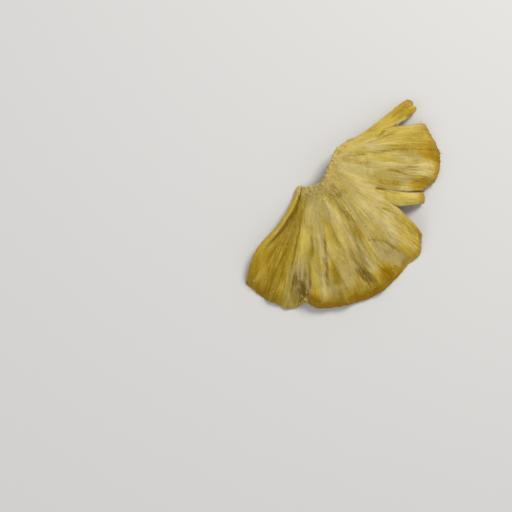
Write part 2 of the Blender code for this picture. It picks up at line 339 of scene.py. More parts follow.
# Colours of the flesh: places along the tone, from dark to light, and the colours there
FLESH = ((0.12, (0.215, 0.128, 0.002)), (0.34, (0.37, 0.25, 0.02)),
         (0.58, (0.58, 0.445, 0.108)), (0.84, (0.74, 0.605, 0.255)))
BRIGHT = ((0.2, (0.4, 0.29, 0.028)), (0.75, (0.7, 0.545, 0.12)))
CLEAR = ((0.15, (0.31, 0.18, 0.001)), (0.75, (0.64, 0.425, 0.042)))
ASHEN = ((0.15, (0.3, 0.22, 0.05)), (0.85, (0.69, 0.59, 0.29)))
# Colours of the windows: partly the thin flesh's own grey, partly painted shade of what lies beneath
FILM_AND_SHADE_BENEATH = ((0.12, (0.165, 0.11, 0.013)), (0.65, (0.49, 0.38, 0.15)))
# The core ring's grains, paler in their middles and darker towards their edges: painted shade in the gaps
# between grains
CRUMB_AND_GAP_SHADE = ((0.1, (0.76, 0.61, 0.24)), (0.8, (0.45, 0.325, 0.09)))  # from the middle of a crumb outwards
AMBER_FLESH = (0.34, 0.182, 0.0, 1.0)

# Streaks along the fibres: count across the fan, lengths along a fibre, detail, seed
CLOUD = (15.0, 3.2, 3.0, 3.1)
BROAD = (46.0, 3.0, 3.0, 5.7)
FINE = (150.0, 4.0, 3.0, 1.3)
HAIRLINE = (380.0, 9.0, 2.0, 8.9)
# Streaks that tint the flesh, and the noise at which the tint starts and is full
BRIGHT_TINT = ((26.0, 3.0, 2.0, 12.0), 0.42, 0.66)
CLEAR_TINT = ((34.0, 2.6, 3.0, 17.0), 0.5, 0.72)
ASHEN_TINT = ((24.0, 2.8, 3.0, 27.0), 0.36, 0.62)
TINT_STRENGTH = (0.42, 0.4)  # of the bright and of the clear tint
ASHEN_STRENGTH = 0.65  # where the flesh isn't golden
BOTH_FACES_APART = 40.0  # how far apart in the noise the streaks of the two faces are
BLOTCH = 5.0  # size of the blotches and the grit of the flesh, in millimetres
GRIT = 0.7
TONE_LEVEL = -0.565  # what brings the sum of tones back to its middle
BUMP_DEPTH = 0.24

# Camera, light and floor
CORE_TO_MIDDLE = np.array((-14.7, -31.8, 0.0))  # from the core's centre to what the camera looks down on
CAMERA_HEIGHT = 300.0
SHEET_LEVEL = 3.5  # height at which the picture's scale holds
PICTURE_WIDTH = 153.6
SENSOR = 36.0
# Lights: name, place and size in metres, power and colour
LIGHTS = (
    ("key", (0.26, 0.36, 0.5), 0.28, 2.82, (1.0, 0.985, 0.95)),
    ("fill", (-0.45, -0.35, 0.5), 0.5, 0.95, (1.0, 0.99, 0.97)),
)
LIT_PLACE = (0.0, 0.0, 0.005)
ROOM_COLOUR = (0.98, 0.985, 1.0, 1.0)
ROOM_STRENGTH = 0.42
FLOOR_COLOUR = (0.74, 0.73, 0.72, 1.0)
FLOOR_REACH = 3.0
FLOOR_GAP = 0.02


def hermite(u, start, start_slope, end, end_slope):
    """The cubic from start to end with the given slopes at its ends."""
    return (((2 * u - 3) * u * u + 1) * start + ((u - 2) * u + 1) * u * start_slope
            + (3 - 2 * u) * u * u * end + (u - 1) * u * u * end_slope)


def across(values, s):
    """A smooth curve through one value for each guide fibre, read at the shares s."""
    slopes = np.gradient(values, SHARE)
    i = np.clip(np.searchsorted(SHARE, s, side="right") - 1, 0, len(SHARE) - 2)
    span = SHARE[i + 1] - SHARE[i]
    u = (s - SHARE[i]) / span
    return hermite(u, values[i], span * slopes[i], values[i + 1], span * slopes[i + 1])


def heading(degrees):
    angle = np.radians(degrees)
    return np.stack((np.cos(angle), np.sin(angle)), axis=-1)


def ease(u):
    """0 below 0 and 1 above 1, with a smooth step between."""
    u = np.clip(u, 0, 1)
    return u * u * (3 - 2 * u)


def bump(x, centre, width):
    return np.exp(-(((x - centre) / width) ** 2))


def unit(vectors):
    length = np.linalg.norm(vectors, axis=-1, keepdims=True)
    return vectors / np.maximum(length, 1e-9)


def field(x, y, z):
    """Smooth noise, from about -1 to 1, at the given places."""
    x, y, z = np.broadcast_arrays(x, y, z)
    places = np.stack((x.ravel(), y.ravel(), z.ravel()), axis=-1)
    return np.array([noise.noise(place) for place in places.tolist()]).reshape(x.shape)


def waves(s, t, kinds):
    return sum(size * field(s * count, t * lengths, seed) for size, count, lengths, seed in kinds)


def cells(places):
    """Distance to the nearest of a set of scattered points about 1 apart: 0 at a point, larger between."""
    return np.array([noise.voronoi(place)[0][0] for place in places.tolist()])


def strand_of(s, t):
    """The share across the fan of the strand that passes a point."""
    return s - sum(shift * ease(t / reach) * bump(s, place, width) for place, width, shift, reach in LEANS)


def ovals(s, t, patches, sharpness=SOFT):
    """The strongest of a list of oval patches, with borders ragged along the strands."""
    strand = strand_of(s, t)
    ragged = waves(strand, t, PATCH_BORDER)
    out = np.zeros_like(s)
    for place, depth, half_width, half_length, lean, strength in np.array(patches) / THOUSAND:
        side = (s - place - lean * (t - depth)) / half_width
        away = side**2 + ((t - depth) / half_length) ** 2
        mask = 1 - ease(0.5 + sharpness * (away - 0.9) + ragged * (away < 4))
        out = np.maximum(out, strength * mask)
    return out


def plan(s, t):
    """X and Y of the sheet before it tears."""
    core = heading(across(CORE_ANGLE, s)) * across(CORE_RADIUS, s)[..., None]
    reach = across(RIM_RADIUS, s) + sum(depth * bump(s, place, width) for place, depth, width in NICKS)
    rim = heading(across(RIM_ANGLE, s)) * reach[..., None]
    pull = FIBRE_PULL * np.linalg.norm(rim - core, axis=-1)[..., None]
    leaving = heading(across(LEAVING, s)) * pull
    arriving = heading(across(ARRIVING, s)) * pull
    xy = hermite(t[..., None], core, leaving, rim, arriving)
    swell = SIDE_BELLY * np.exp(-s / SIDE_BELLY_WIDTH) * bump(t, SIDE_BELLY_PLACE, SIDE_BELLY_LENGTH)
    return xy[..., 0] - swell, xy[..., 1] + SIDE_BELLY_RISE * swell


def beside_a_tear(s, width):
    """1 on a tear's line and 0 well away from every tear."""
    return np.max([np.exp(-np.abs(s - tear[0]) / width) for tear in TEARS], axis=0)


def height(s, t):
    """Height of the middle of the sheet: an umbrella with folds, a rim that turns down and a raised side."""
    core = across(CORE_HEIGHT, s)
    middle = across(MIDDLE_HEIGHT, s)
    rim = across(RIM_HEIGHT, s)
    dome = core + (4 * middle - 3 * core - rim) * t + (2 * core + 2 * rim - 4 * middle) * t * t
    folds = sum(size * np.sin(2 * np.pi * (count * s + phase)) for count, size, phase in FOLDS)
    folds *= 1 - TEAR_CALM * beside_a_tear(s, TEAR_CALM_WIDTH)
    curl = RIM_CURL * ease((t - CURL_START) / (1 - CURL_START)) ** 2
    lip = SIDE_LIP * np.exp(-s / SIDE_LIP_WIDTH) * np.sin(np.pi * t)
    return dome + folds * t**FOLD_GROWTH - curl + lip - SETTLING


def thickness(s, t):
    core = (CORE_THICKNESS - MIDDLE_THICKNESS) * np.exp(-((t / CORE_BAND) ** 2))
    rim = (RIM_THICKNESS - MIDDLE_THICKNESS) * ease((t - 0.5) / 0.5)
    torn = TEAR_THINNING * beside_a_tear(s, TEAR_THINNING_WIDTH) * ease(2 * t - 0.6)
    return (MIDDLE_THICKNESS + core + rim) * (1 - torn)


def middle_of_sheet(s, t, lip):
    """Points half way through the sheet. lip is -1 or 1 on a tear's lips and 0 elsewhere."""
    x, y = plan(s, t)
    point = np.stack((x, y, height(s, t)), axis=-1)
    for place, start, low_way, high_way, low_bend, high_bend in TEARS:
        opened = np.clip((t - start) / (1 - start), 0, 1) ** TEAR_SHAPE
        side = np.where(np.isclose(s, place), lip, np.sign(s - place))
        away = np.abs(s - place)
        low = (side < 0) * opened * np.exp(-away / low_bend)
        high = (side > 0) * opened * np.exp(-away / high_bend)
        point = point + low[..., None] * np.array(low_way) + high[..., None] * np.array(high_way)
    return point


def slopes_of_sheet(s, t, lip):
    """How the middle of the sheet moves for one whole share across and one whole share along."""
    left = np.clip(s - PROBE * (lip <= 0), 0, 1)
    right = np.clip(s + PROBE * (lip >= 0), 0, 1)
    above = np.clip(t - PROBE, 0, 1)
    below = np.clip(t + PROBE, 0, 1)
    over = middle_of_sheet(right, t, lip) - middle_of_sheet(left, t, lip)
    down = middle_of_sheet(s, below, lip) - middle_of_sheet(s, above, lip)
    return over / (right - left)[..., None], down / (below - above)[..., None]


def rows_along():
    """The shares along the fibre of the rows, closer together at the core and at the rim."""
    t = np.linspace(0, 1, 4001)
    at_core = CORE_CROWDING * np.exp(-t / CROWDED_LENGTH)
    density = 1 + at_core + RIM_CROWDING * np.exp(-(1 - t) / CROWDED_LENGTH)
    count = np.concatenate(((0,), np.cumsum((density[1:] + density[:-1]) / 2)))
    return np.interp(np.linspace(0, 1, ROWS + 1), count / count[-1], t)


def grid_of_sheet():
    """An entry for each grid point, or two on a tear's lips: shares and lip; and where the entries are."""
    torn = {round(tear[0] * COLUMNS): tear[1] for tear in TEARS}
    rows = rows_along()
    entries, left_of, right_of = [], {}, {}
    for column in range(COLUMNS + 1):
        for row, t in enumerate(rows):
            left_of[column, row] = len(entries)
            lips = (-1, 1) if t > torn.get(column, 1) else (0,)
            entries.extend((column / COLUMNS, t, lip) for lip in lips)
            right_of[column, row] = len(entries) - 1
    return np.array(entries, float), left_of, right_of


def quads_of_face(left_of, right_of):
    """The quads of the upper face, and the edges that have a quad on one side only."""
    quads = [(right_of[c, r], right_of[c, r + 1], left_of[c + 1, r + 1], left_of[c + 1, r])
             for c in range(COLUMNS) for r in range(ROWS)]
    edges = [(quad[k], quad[(k + 1) % 4]) for quad in quads for k in range(4)]
    inner = set(edges)
    return quads, [(a, b) for a, b in edges if (b, a) not in inner]


def strands(s, t, shift):
    """Relief of the strands, and where on its strand each point lies, from 0 in a groove to 1 on a crest."""
    strand = strand_of(s, t)
    relief, crest = np.zeros_like(s), np.zeros_like(s)

    def pattern(count, lengths, seed):
        drift = SWAY * field(strand * count * SWAY_STEP, t * SWAY_LENGTHS, seed + shift + 9.0)
        return field(strand * count + drift + 0.31 * t, t * lengths + 0.17 * s, seed + shift)

    for count, lengths, low, high, seed in BUNDLES:
        level = np.minimum(GROOVE_SHARPNESS * np.abs(pattern(count, lengths, seed)), 1) ** 0.6
        relief += (low + (high - low) * t) * (level - 0.7)
        crest += 0.2 * level
    for count, lengths, low, high, seed in STRANDS:
        level = np.exp(-(pattern(count, lengths, seed) / STRAND_BREADTH) ** 2)
        relief += (low + (high - low) * t) * (level - 0.4)
        crest += 0.3 * level
    return relief, np.minimum(crest, 1)


def wrinkles(s, t):
    """Small waves of the whole sheet, and its larger swellings."""
    return waves(s, t, WRINKLES) * ease(t / WRINKLE_START) + ovals(s, t, SWELLINGS)


def creases(s, t):
    """Depth of the creases at the given shares, and how much painted shade darkens them."""
    places = np.column_stack(plan(s, t))
    wander = waves(s, t, CREASE_WANDER)
    depth, shade = np.zeros_like(s), np.zeros_like(s)
    for line, width, deep, dark in CREASES:
        corners = np.column_stack(plan(*(np.array(line) / THOUSAND).T))
        nearest, along = np.full(s.shape, 1e3), np.zeros_like(s)
        for k, (a, b) in enumerate(zip(corners, corners[1:])):
            way = b - a
            u = np.clip((places - a) @ way / (way @ way), 0, 1)
            gap = np.linalg.norm(places - a - u[:, None] * way, axis=-1)
            along = np.where(gap < nearest, (k + u) / (len(corners) - 1), along)
            nearest = np.minimum(gap, nearest)
        mask = np.exp(-((nearest + wander * (nearest < 3)) / width) ** 2) * np.sin(np.pi * along) ** 0.7
        depth = np.maximum(depth, deep * mask)
        shade = np.maximum(shade, dark * mask)
    return depth, shade


def fray(s, t, sizes, seed):
    return sum(size * field(s * count, t * count, seed + 11.0 * k) for k, (size, count) in enumerate(sizes))


def side_band(s, t, width):
    """Relief of the rounded band along the long cut side and of the groove beside it, and where the groove
    is, which the colour darkens with painted shade.
    """
    inwards = s * width
    there = 1 - ease((t - BAND_END + 0.15) / 0.3)
    band = BAND_HEIGHT * bump(inwards, BAND_MIDDLE, BAND_WIDTH)
    groove = GROOVE_DEPTH * bump(inwards, GROOVE_PLACE, GROOVE_WIDTH)
    return (band - groove) * there, bump(inwards, GROOVE_PLACE, 1.3 * GROOVE_WIDTH) * there


def crumbs(points):
    """Relief of the grains, from about 0.5 on a grain to below 0 between grains."""
    return 0.5 - 0.65 * cells(points / GRAIN) - 0.35 * cells(points / (0.45 * GRAIN) + 5.0)


def stray_edges(s, t, lip, over, down):
    """How far the frayed outline moves each point of the sheet, with room for the bulge of the edge."""
    width = np.linalg.norm(over, axis=-1)
    length = np.linalg.norm(down, axis=-1)
    room = EDGE_BULGE * thickness(s, t)
    at_rim = ease((t - 1 + FRAY_REACH) / FRAY_REACH)
    at_core = 1 - ease(t / FRAY_REACH)
    along = at_rim * fray(s, 0 * s, RIM_FRAY, 51.0) * (1 + TIP_FRAY * ease((s - TIP_START) / TIP_FADE))
    along -= at_core * fray(s, 0 * s, CORE_FRAY, 57.0)
    along += room * (CORE_ROOM * np.exp(-t * length / EDGE_REACH)
                     - RIM_ROOM * np.exp(-(1 - t) * length / EDGE_REACH))
    aside = np.zeros_like(s)
    for (place, start, *_), share in zip(TEARS, TEAR_ROOM):
        for side in (-1, 1):
            near = np.where(np.isclose(s, place), lip == side, np.sign(s - place) == side)
            away = np.abs(s - place) * width
            aside += (near * ease((t - start) / LIP_FADE) * np.exp(-away / LIP_REACH)
                      * fray(0 * s, t, LIP_FRAY, 60.0 + 5 * side + 30 * place))
            near = near * ease((t - start) / LIP_ROOM_FADE)
            aside += side * near * share * room * np.exp(-away / EDGE_REACH)
    for edge, side in ((0.0, 1), (1.0, -1)):
        away = np.abs(s - edge) * width
        aside += np.exp(-away / SIDE_REACH) * fray(0 * s, t, LIP_FRAY, 80.0 - 5 * side)
        aside += side * SIDE_ROOM * room * np.exp(-away / EDGE_REACH)
    return unit(down) * along[:, None] + unit(over) * aside[:, None]


def finished_sheet(entries):
    """The two faces with all their relief, the normal of the sheet, and the masks for colour."""
    s, t, lip = entries.T
    over, down = slopes_of_sheet(s, t, lip)
    width = np.linalg.norm(over, axis=-1)
    normal = unit(np.cross(down, over))

    window = ovals(s, t, WINDOWS, CRISP)
    fibrous = np.maximum(ovals(s, t, FIBROUS), LEAST_FIBROUS)
    relief_up, crest_up = strands(s, t, 0.0)
    relief_down, crest_down = strands(s, t, 200.0)
    band, groove = side_band(s, t, width)
    crease, crease_shade = creases(s, t)
    ring = 1 - ease((t - GRAIN_START + waves(s, t, RING_BORDER)) / GRAIN_FADE)
    shown_strands = (SHOWN_STRANDS[0] + SHOWN_STRANDS[1] * fibrous) * (1 - WINDOW_CALM * window) * (1 - ring)

    middle = middle_of_sheet(s, t, lip) + normal * wrinkles(s, t)[:, None]
    middle += stray_edges(s, t, lip, over, down)
    up = 0.5 * thickness(s, t) + relief_up * shown_strands - WINDOW_DEPTH[0] * window + band - crease
    low = 0.5 * thickness(s, t) + relief_down * shown_strands - WINDOW_DEPTH[1] * window
    upper = middle + normal * up[:, None]
    lower = middle - normal * low[:, None]
    upper += normal * (GRAIN_HEIGHT * ring * crumbs(upper))[:, None]
    lower -= normal * (GRAIN_HEIGHT * ring * crumbs(lower))[:, None]
    lower[:, 2] = np.maximum(lower[:, 2], 0)
    upper[:, 2] = np.maximum(upper[:, 2], lower[:, 2] + THINNEST * np.abs(normal[:, 2]))

    rim = np.interp(s, *AMBER_RIM.T)
    reach = t + waves(s, t, RIM_BORDER)
    masks = {
        # crest is lowered in the side's groove, which adds painted shade there
        "crest": crest_up * (1 - 0.8 * groove),
        "crest_down": crest_down,
        "fibrous": fibrous,
        "window": window,
        # The tone is partly the flesh's own paleness and partly painted light and shade: the darker left of
        # the fan, paler patches on the lobe between the last two tears, the side's band and groove, and the
        # creases.
        "tone": 0.5 + np.interp(s, *TONE_AND_SHADE_ACROSS.T) + PALER * ovals(s, t, PALE)
                - DARKER * ovals(s, t, DARK_FLESH_AND_SHADE) - GROOVE_SHADE * groove
                + BAND_PALER * np.maximum(band, 0) - crease_shade,
        "yellow": ovals(s, t, YELLOW),
        "gold": np.maximum(ovals(s, t, GOLD, MEDIUM), 0.85 * rim * ease((reach - GOLD_START) / GOLD_FADE)),
        "amber": np.maximum(ovals(s, t, AMBER, FIRM), rim * ease((reach - AMBER_START) / AMBER_FADE)),
        "grain": ring,
    }
    return upper, lower, normal, masks


def write_masks(mesh, fibre, masks):
    """Stores what the material reads at each point: its place in the fan and its masks."""
    layer = mesh.attributes.new("fibre", "FLOAT_VECTOR", "POINT")
    layer.data.foreach_set("vector", fibre.astype(np.float32).ravel())
    for name, value in masks.items():
        layer = mesh.attributes.new(name, "FLOAT", "POINT")
        layer.data.foreach_set("value", value.astype(np.float32).ravel())


def new_mesh(name, points, faces):
    """A mesh of points that are given in millimetres about the core's centre."""
    mesh = bpy.data.meshes.new(name)
    mesh.from_pydata(((points + CORE_CENTRE) * MM).tolist(), [], faces)
    return mesh


def outward_ways(points, normal, border):
    """For each entry on the border, the way out of the sheet, square to its edge. A tear's root has none."""
    way = np.zeros_like(points)
    for a, b in border:
        out = unit(np.cross(points[b] - points[a], normal[a] + normal[b]))
        way[a] += out
        way[b] += out
    return np.where(np.linalg.norm(way, axis=-1, keepdims=True) > 0.7, unit(way), 0)


def gaps_of_tears(points, left_of, right_of):
    """How far apart a tear's lips are at each entry, and a large number elsewhere."""
    gap = np.full(len(points), 1e3)
    for place, index in left_of.items():
        other = right_of[place]
        if other != index:
            gap[index] = gap[other] = np.linalg.norm(points[index] - points[other])
    return gap


def slice_mesh():
    entries, left_of, right_of = grid_of_sheet()
    upper, lower, normal, masks = finished_sheet(entries)
    count = len(entries)
    quads, border = quads_of_face(left_of, right_of)
    centre = (upper + lower) / 2
    half = (upper - lower) / 2
    way = outward_ways(centre, normal, border)
    thick = np.linalg.norm(upper - lower, axis=-1)
    bulge = np.minimum(EDGE_BULGE * thick, 0.45 * gaps_of_tears(centre, left_of, right_of))

    picked = np.unique(border)
    rings = []
    for k in range(1, EDGE_RINGS + 1):
        angle = np.pi * k / (EDGE_RINGS + 1)
        ring = centre[picked] + half[picked] * np.cos(angle)
        ring += way[picked] * (bulge[picked] * np.sin(angle))[:, None]
        rough = masks["grain"][picked] * GRAIN_HEIGHT * crumbs(ring)
        ring += way[picked] * rough[:, None]
        ring[:, 2] = np.maximum(ring[:, 2], 0)
        rings.append(ring)
    points = np.concatenate((upper, lower, *rings))

    # The points of the entries at each level: the upper face, the rings of the edge and the lower face
    in_ring = np.zeros(count, int)
    in_ring[picked] = np.arange(len(picked))
    levels = [np.arange(count), *[2 * count + k * len(picked) + in_ring for k in range(EDGE_RINGS)],
              count + np.arange(count)]
    a, b = np.array(border).T
    walls = [np.column_stack((high[b], high[a], low[a], low[b])) for high, low in zip(levels, levels[1:])]
    faces = quads + [tuple(count + v for v in reversed(quad)) for quad in quads]
    mesh = new_mesh("dried_slice", points, faces + np.stack(walls, axis=1).reshape(-1, 4).tolist())
    mesh.validate()
    mesh.shade_smooth()

    def for_points(on_upper, on_lower):
        return np.concatenate((on_upper, on_lower, *[on_upper[picked]] * EDGE_RINGS))

    sides = np.concatenate((np.zeros(count), np.ones(count),
                            *[np.full(len(picked), k / (EDGE_RINGS + 1)) for k in range(1, EDGE_RINGS + 1)]))
    shares = np.column_stack((strand_of(entries[:, 0], entries[:, 1]), entries[:, 1]))
    values = {name: for_points(masks[name], masks[name]) for name in MASKS}
    values["crest"] = for_points(masks["crest"], masks["crest_down"])
    write_masks(mesh, np.column_stack((for_points(shares, shares), sides)), values)
    return mesh


def tubes(name, paths, widths, up):
    """One mesh of closed thin tubes along paths, with a width at each of their points."""
    count, length, _ = paths.shape
    ahead = unit(np.gradient(paths, axis=1))
    side = unit(np.cross(ahead, up))
    over = np.cross(side, ahead)
    angle = 2 * np.pi * np.arange(TUBE_SIDES) / TUBE_SIDES
    ring = side[:, :, None] * np.cos(angle)[:, None] + over[:, :, None] * np.sin(angle)[:, None]
    points = (paths[:, :, None] + ring * widths[:, :, None, None] / 2).reshape(-1, 3)
    index = np.arange(len(points)).reshape(count, length, TUBE_SIDES)
    near, far = index[:, :-1], index[:, 1:]
    walls = np.stack((near, far, np.roll(far, -1, 2), np.roll(near, -1, 2)), axis=-1).reshape(-1, 4)
    ends = np.concatenate((index[:, 0], index[:, -1, ::-1]))
    mesh = new_mesh(name, points, walls.tolist() + ends.tolist())
    mesh.shade_smooth()
    return mesh


def share_of(strand, t):
    """The share across the fan where a strand passes at the share t along the fibre."""
    s = strand
    for _ in range(20):
        s = strand + s - strand_of(s, t)
    return s


def tube_masks(mesh, fibre, masks, **changes):
    """Gives each point of the tubes what the sheet has beside it, apart from the changes."""
    values = {name: changes.get(name, masks[name]) * np.ones_like(masks[name]) for name in MASKS}
    write_masks(mesh, np.repeat(fibre, TUBE_SIDES, axis=0),
                {name: np.repeat(value, TUBE_SIDES) for name, value in values.items()})


def raised_strands():
    """Single strands that stand a little proud of both faces, thickest half way along."""
    dice = np.random.default_rng(STRAND_SEED)
    strand = dice.uniform(0.0, 1.0, STRAND_TRIES)
    start = dice.uniform(*STRAND_STARTS, STRAND_TRIES)
    run = dice.uniform(*STRAND_RUN, STRAND_TRIES)
    keep = dice.uniform(0, 1, STRAND_TRIES)
    face = dice.uniform(0, 1, STRAND_TRIES) < UPPER_SHARE
    middle = share_of(strand, start + run / 2)
    chance = ovals(middle, start + run / 2, FIBROUS) * STRAND_CHANCE[1] + STRAND_CHANCE[0]
    chance *= 1 - 0.9 * ovals(middle, start + run / 2, WINDOWS, CRISP)
    inside = (middle > STRAND_PLACES[0]) & (middle < STRAND_PLACES[1]) & (start + run < STRAND_END)
    chosen = (keep < chance) & inside
    strand, start, run, face = (values[chosen] for values in (strand, start, run, face))
    u = np.linspace(0, 1, STRAND_POINTS)
    t = start[:, None] + run[:, None] * u
    sway = STRAND_SWAY * field(strand[:, None] * 900 + 0 * u, t * 9, 301.0)
    s = np.clip(share_of(strand[:, None] + sway, t), 0.002, 0.998)
    for place, *_ in TEARS:
        crosses = (s.min(axis=1) < place + 0.002) & (s.max(axis=1) > place - 0.002)
        s, t, face = s[~crosses], t[~crosses], face[~crosses]
    flat = np.column_stack((s.ravel(), t.ravel(), np.zeros(s.size)))
    upper, lower, normal, masks = finished_sheet(flat)
    width = dice.uniform(*STRAND_WIDTH, len(s))[:, None] * (0.25 + 0.75 * np.sin(np.pi * u) ** 0.6)
    face = np.repeat(face, STRAND_POINTS)[:, None]
    out = np.where(face, normal, -normal)
    paths = np.where(face, upper, lower) + out * 0.02 * width.reshape(-1, 1)
    paths[:, 2] = np.maximum(paths[:, 2], 0.6 * width.ravel())
    mesh = tubes("raised_strands", paths.reshape(*s.shape, 3), width, out.reshape(*s.shape, 3))
    paler = masks["tone"] + np.repeat(0.05 + 0.9 * dice.uniform(0, 1, len(s)) ** 3, STRAND_POINTS)
    fibre = np.column_stack((strand_of(flat[:, 0], flat[:, 1]), flat[:, 1], 1 - face))
    tube_masks(mesh, fibre, masks, crest=0.85, fibrous=0.3, tone=paler)
    return mesh


def hair_paths(s, t, way, length, curl, seed):
    """Paths of fine hairs that leave the sheet at the given places, curl and droop."""
    upper, _, normal, masks = finished_sheet(np.column_stack((s, t, 0 * s)))
    over, down = slopes_of_sheet(s, t, 0 * s)
    ahead = unit(unit(over) * way[:, :1] + unit(down) * way[:, 1:2] + normal * way[:, 2:])
    u = np.linspace(0, 1, HAIR_POINTS)
    step = (length / (HAIR_POINTS - 1))[:, None]
    paths = np.empty((len(s), HAIR_POINTS, 3))
    paths[:, 0] = upper - HAIR_ROOT * normal
    for k in range(1, HAIR_POINTS):
        bend = [field(np.arange(len(s)) * 7.3, u[k] * 2.2, seed + 9.0 * axis) for axis in range(3)]
        bend = np.column_stack(bend)
        bend -= HAIR_FLATNESS * np.sum(bend * normal, axis=-1, keepdims=True) * normal
        ahead = unit(ahead + curl[:, None] * bend / HAIR_POINTS - np.array((0, 0, HAIR_DROOP)))
        paths[:, k] = paths[:, k - 1] + ahead * step
        paths[:, k, 2] = np.maximum(paths[:, k, 2], 0.08)
    return paths, normal, masks


def loose_hairs():
    """Frayed fibre ends along the rim and the tears, and a few hairs that lie on the upper face."""
    dice = np.random.default_rng(HAIR_SEED)
    s, t, way, length, curl = [], [], [], [], []

    def put(count, places, rows, ways, lengths, curls):
        s.extend(dice.uniform(*places, count))
        t.extend(dice.uniform(*rows, count))
        way.extend(dice.uniform(*ways, (count, 3)))
        length.extend(dice.uniform(*lengths, count))
        curl.extend(dice.uniform(*curls, count))

    put(*RIM_HAIRS)
    for place, start, *_ in TEARS:
        for side in (-1, 1):
            beside = place + 0.001 * side
            ways = ((-0.4 - 0.5 * side, 0.4, -0.3), (0.4 - 0.5 * side, 0.9, 0.3))
            put(LIP_HAIRS, (beside, beside), (start + 0.03, 0.97), ways, (0.5, 1.6), (3.0, 8.0))
    put(*FACE_HAIRS)
    for hair in LONG_HAIRS:
        put(1, *((value, value) for value in hair))
    s, t = np.array(s), np.array(t)
    paths, normal, masks = hair_paths(s, t, np.array(way), np.array(length), np.array(curl), 401.0)
    bold = np.where(np.arange(len(s)) < len(s) - len(LONG_HAIRS), 1.0, BOLD_HAIR)
    width = (bold * dice.uniform(*HAIR_WIDTH, len(s)))[:, None] * np.linspace(1, 0.35, HAIR_POINTS)
    mesh = tubes("loose_hairs", paths, width, np.repeat(normal[:, None], HAIR_POINTS, axis=1))
    masks = {name: np.repeat(value, HAIR_POINTS) for name, value in masks.items()}
    fibre = np.repeat(np.column_stack((s, t, 0 * s)), HAIR_POINTS, axis=0)
    paler = masks["tone"] + 0.3 * np.repeat(bold, HAIR_POINTS)
    tube_masks(mesh, fibre, masks, crest=0.9, fibrous=0.2, tone=paler, amber=0.3 * masks["amber"],
               gold=0.3 * masks["gold"], window=0.0, grain=0.0)
    return mesh


def sugar_grains():
    """Tiny crystals of dried sugar on the upper face, at the rim and on the core ring."""
    dice = np.random.default_rng(GRAIN_SEED)
    s = dice.uniform(0.02, 0.98, GRAIN_COUNT)
    t = np.where(dice.uniform(0, 1, GRAIN_COUNT) < 0.35, dice.uniform(0.88, 0.99, GRAIN_COUNT),
                 dice.uniform(0.05, 0.95, GRAIN_COUNT))
    for place, depth, count, spread in GRAIN_CLUSTERS:
        s = np.append(s, place + spread * dice.normal(0, 1, count) * 0.35)
        t = np.append(t, np.clip(depth + spread * dice.normal(0, 1, count), 0.02, 0.99))
    upper, _, normal, _ = finished_sheet(np.column_stack((s, t, 0 * s)))
    size = dice.uniform(*GRAIN_SIZE, len(s)) * np.where(np.arange(len(s)) < GRAIN_COUNT, 1.0, 1.5)
    ball = bmesh.new()
    bmesh.ops.create_icosphere(ball, subdivisions=1, radius=0.5)
    corners = np.array([tuple(v.co) for v in ball.verts])
    sides = np.array([[v.index for v in face.verts] for face in ball.faces])
    ball.free()
    turn = unit(dice.normal(0, 1, (len(s), 3)))
    stretch = 1 + dice.uniform(-0.2, 0.5, len(s))[:, None, None] * (corners @ turn.T).T[:, :, None] ** 2
    cut = 1 + 0.25 * dice.uniform(-1, 1, (len(s), len(corners), 1))
    points = upper[:, None] + normal[:, None] * 0.25 * size[:, None, None]
    points = points + corners * stretch * cut * size[:, None, None]
    faces = sides + len(corners) * np.arange(len(s))[:, None, None]
    return new_mesh("sugar_grains", points.reshape(-1, 3), faces.reshape(-1, 3).tolist())


def feed(tree, node, inputs):
    """Links each input to another node's output, or gives it a plain value."""
    for key, value in inputs.items():
        if isinstance(value, bpy.types.NodeSocket):
            tree.links.new(value, node.inputs[key])
        else:
            node.inputs[key].default_value = value


def add(tree, kind, inputs=None, **settings):
    made = tree.nodes.new(kind)
    for name, value in settings.items():
        setattr(made, name, value)
    feed(tree, made, inputs or {})
    return made


def mixed(tree, factor, a, b):
    """A mix of two colours."""
    return add(tree, "ShaderNodeMix", {0: factor, 6: a, 7: b}, data_type="RGBA").outputs[2]


def times(tree, a, b):
    return add(tree, "ShaderNodeMath", {0: a, 1: b}, operation="MULTIPLY").outputs[0]


def weighted(tree, total, *parts):
    """A first value plus the sum of outputs, each times its weight."""
    for output, weight in parts:
        term = add(tree, "ShaderNodeMath", {0: output, 1: weight, 2: total}, operation="MULTIPLY_ADD")
        total = term.outputs[0]
    return total


def attribute(tree, name, output="Fac"):
    return add(tree, "ShaderNodeAttribute", attribute_name=name).outputs[output]


def cloudy(tree, places, scale, detail=2.0, roughness=0.6, distortion=0.0):
    return add(tree, "ShaderNodeTexNoise", {
        "Vector": places, "Scale": scale, "Detail": detail, "Roughness": roughness, "Distortion": distortion,
    }).outputs["Fac"]


def streaks(tree, fibre, count, lengths, detail, seed):
    """Noise drawn out along the fibres, about count streaks across the fan."""
    places = add(tree, "ShaderNodeMapping", {
        "Vector": fibre, "Location": (seed, seed, seed), "Scale": (count, lengths, BOTH_FACES_APART),
    }).outputs[0]
    return cloudy(tree, places, 1.0, detail, 0.55, 0.8)


def tinted(tree, fibre, kind, strength, colour, other):
    """A colour that turns to another in streaks along the fibres."""
    streak, low, high = kind
    share = add(tree, "ShaderNodeMapRange", {
        "Value": streaks(tree, fibre, *streak), "From Min": low, "From Max": high,
    }).outputs[0]
    return mixed(tree, times(tree, share, strength), colour, other)


def ramp(tree, factor, stops):
    """A colour for a factor, from places along the ramp and their colours."""
    made = add(tree, "ShaderNodeValToRGB", {"Fac": factor})
    elements = made.color_ramp.elements
    while len(elements) < len(stops):
        elements.new(0.5)
    for element, (place, colour) in zip(elements, stops):
        element.position = place
        element.color = (*colour, 1.0)
    return made.outputs["Color"]


def new_material(name):
    """A material, its node tree and its main shader."""
    material = bpy.data.materials.new(name)
    material.use_nodes = True
    return material, material.node_tree, material.node_tree.nodes["Principled BSDF"]


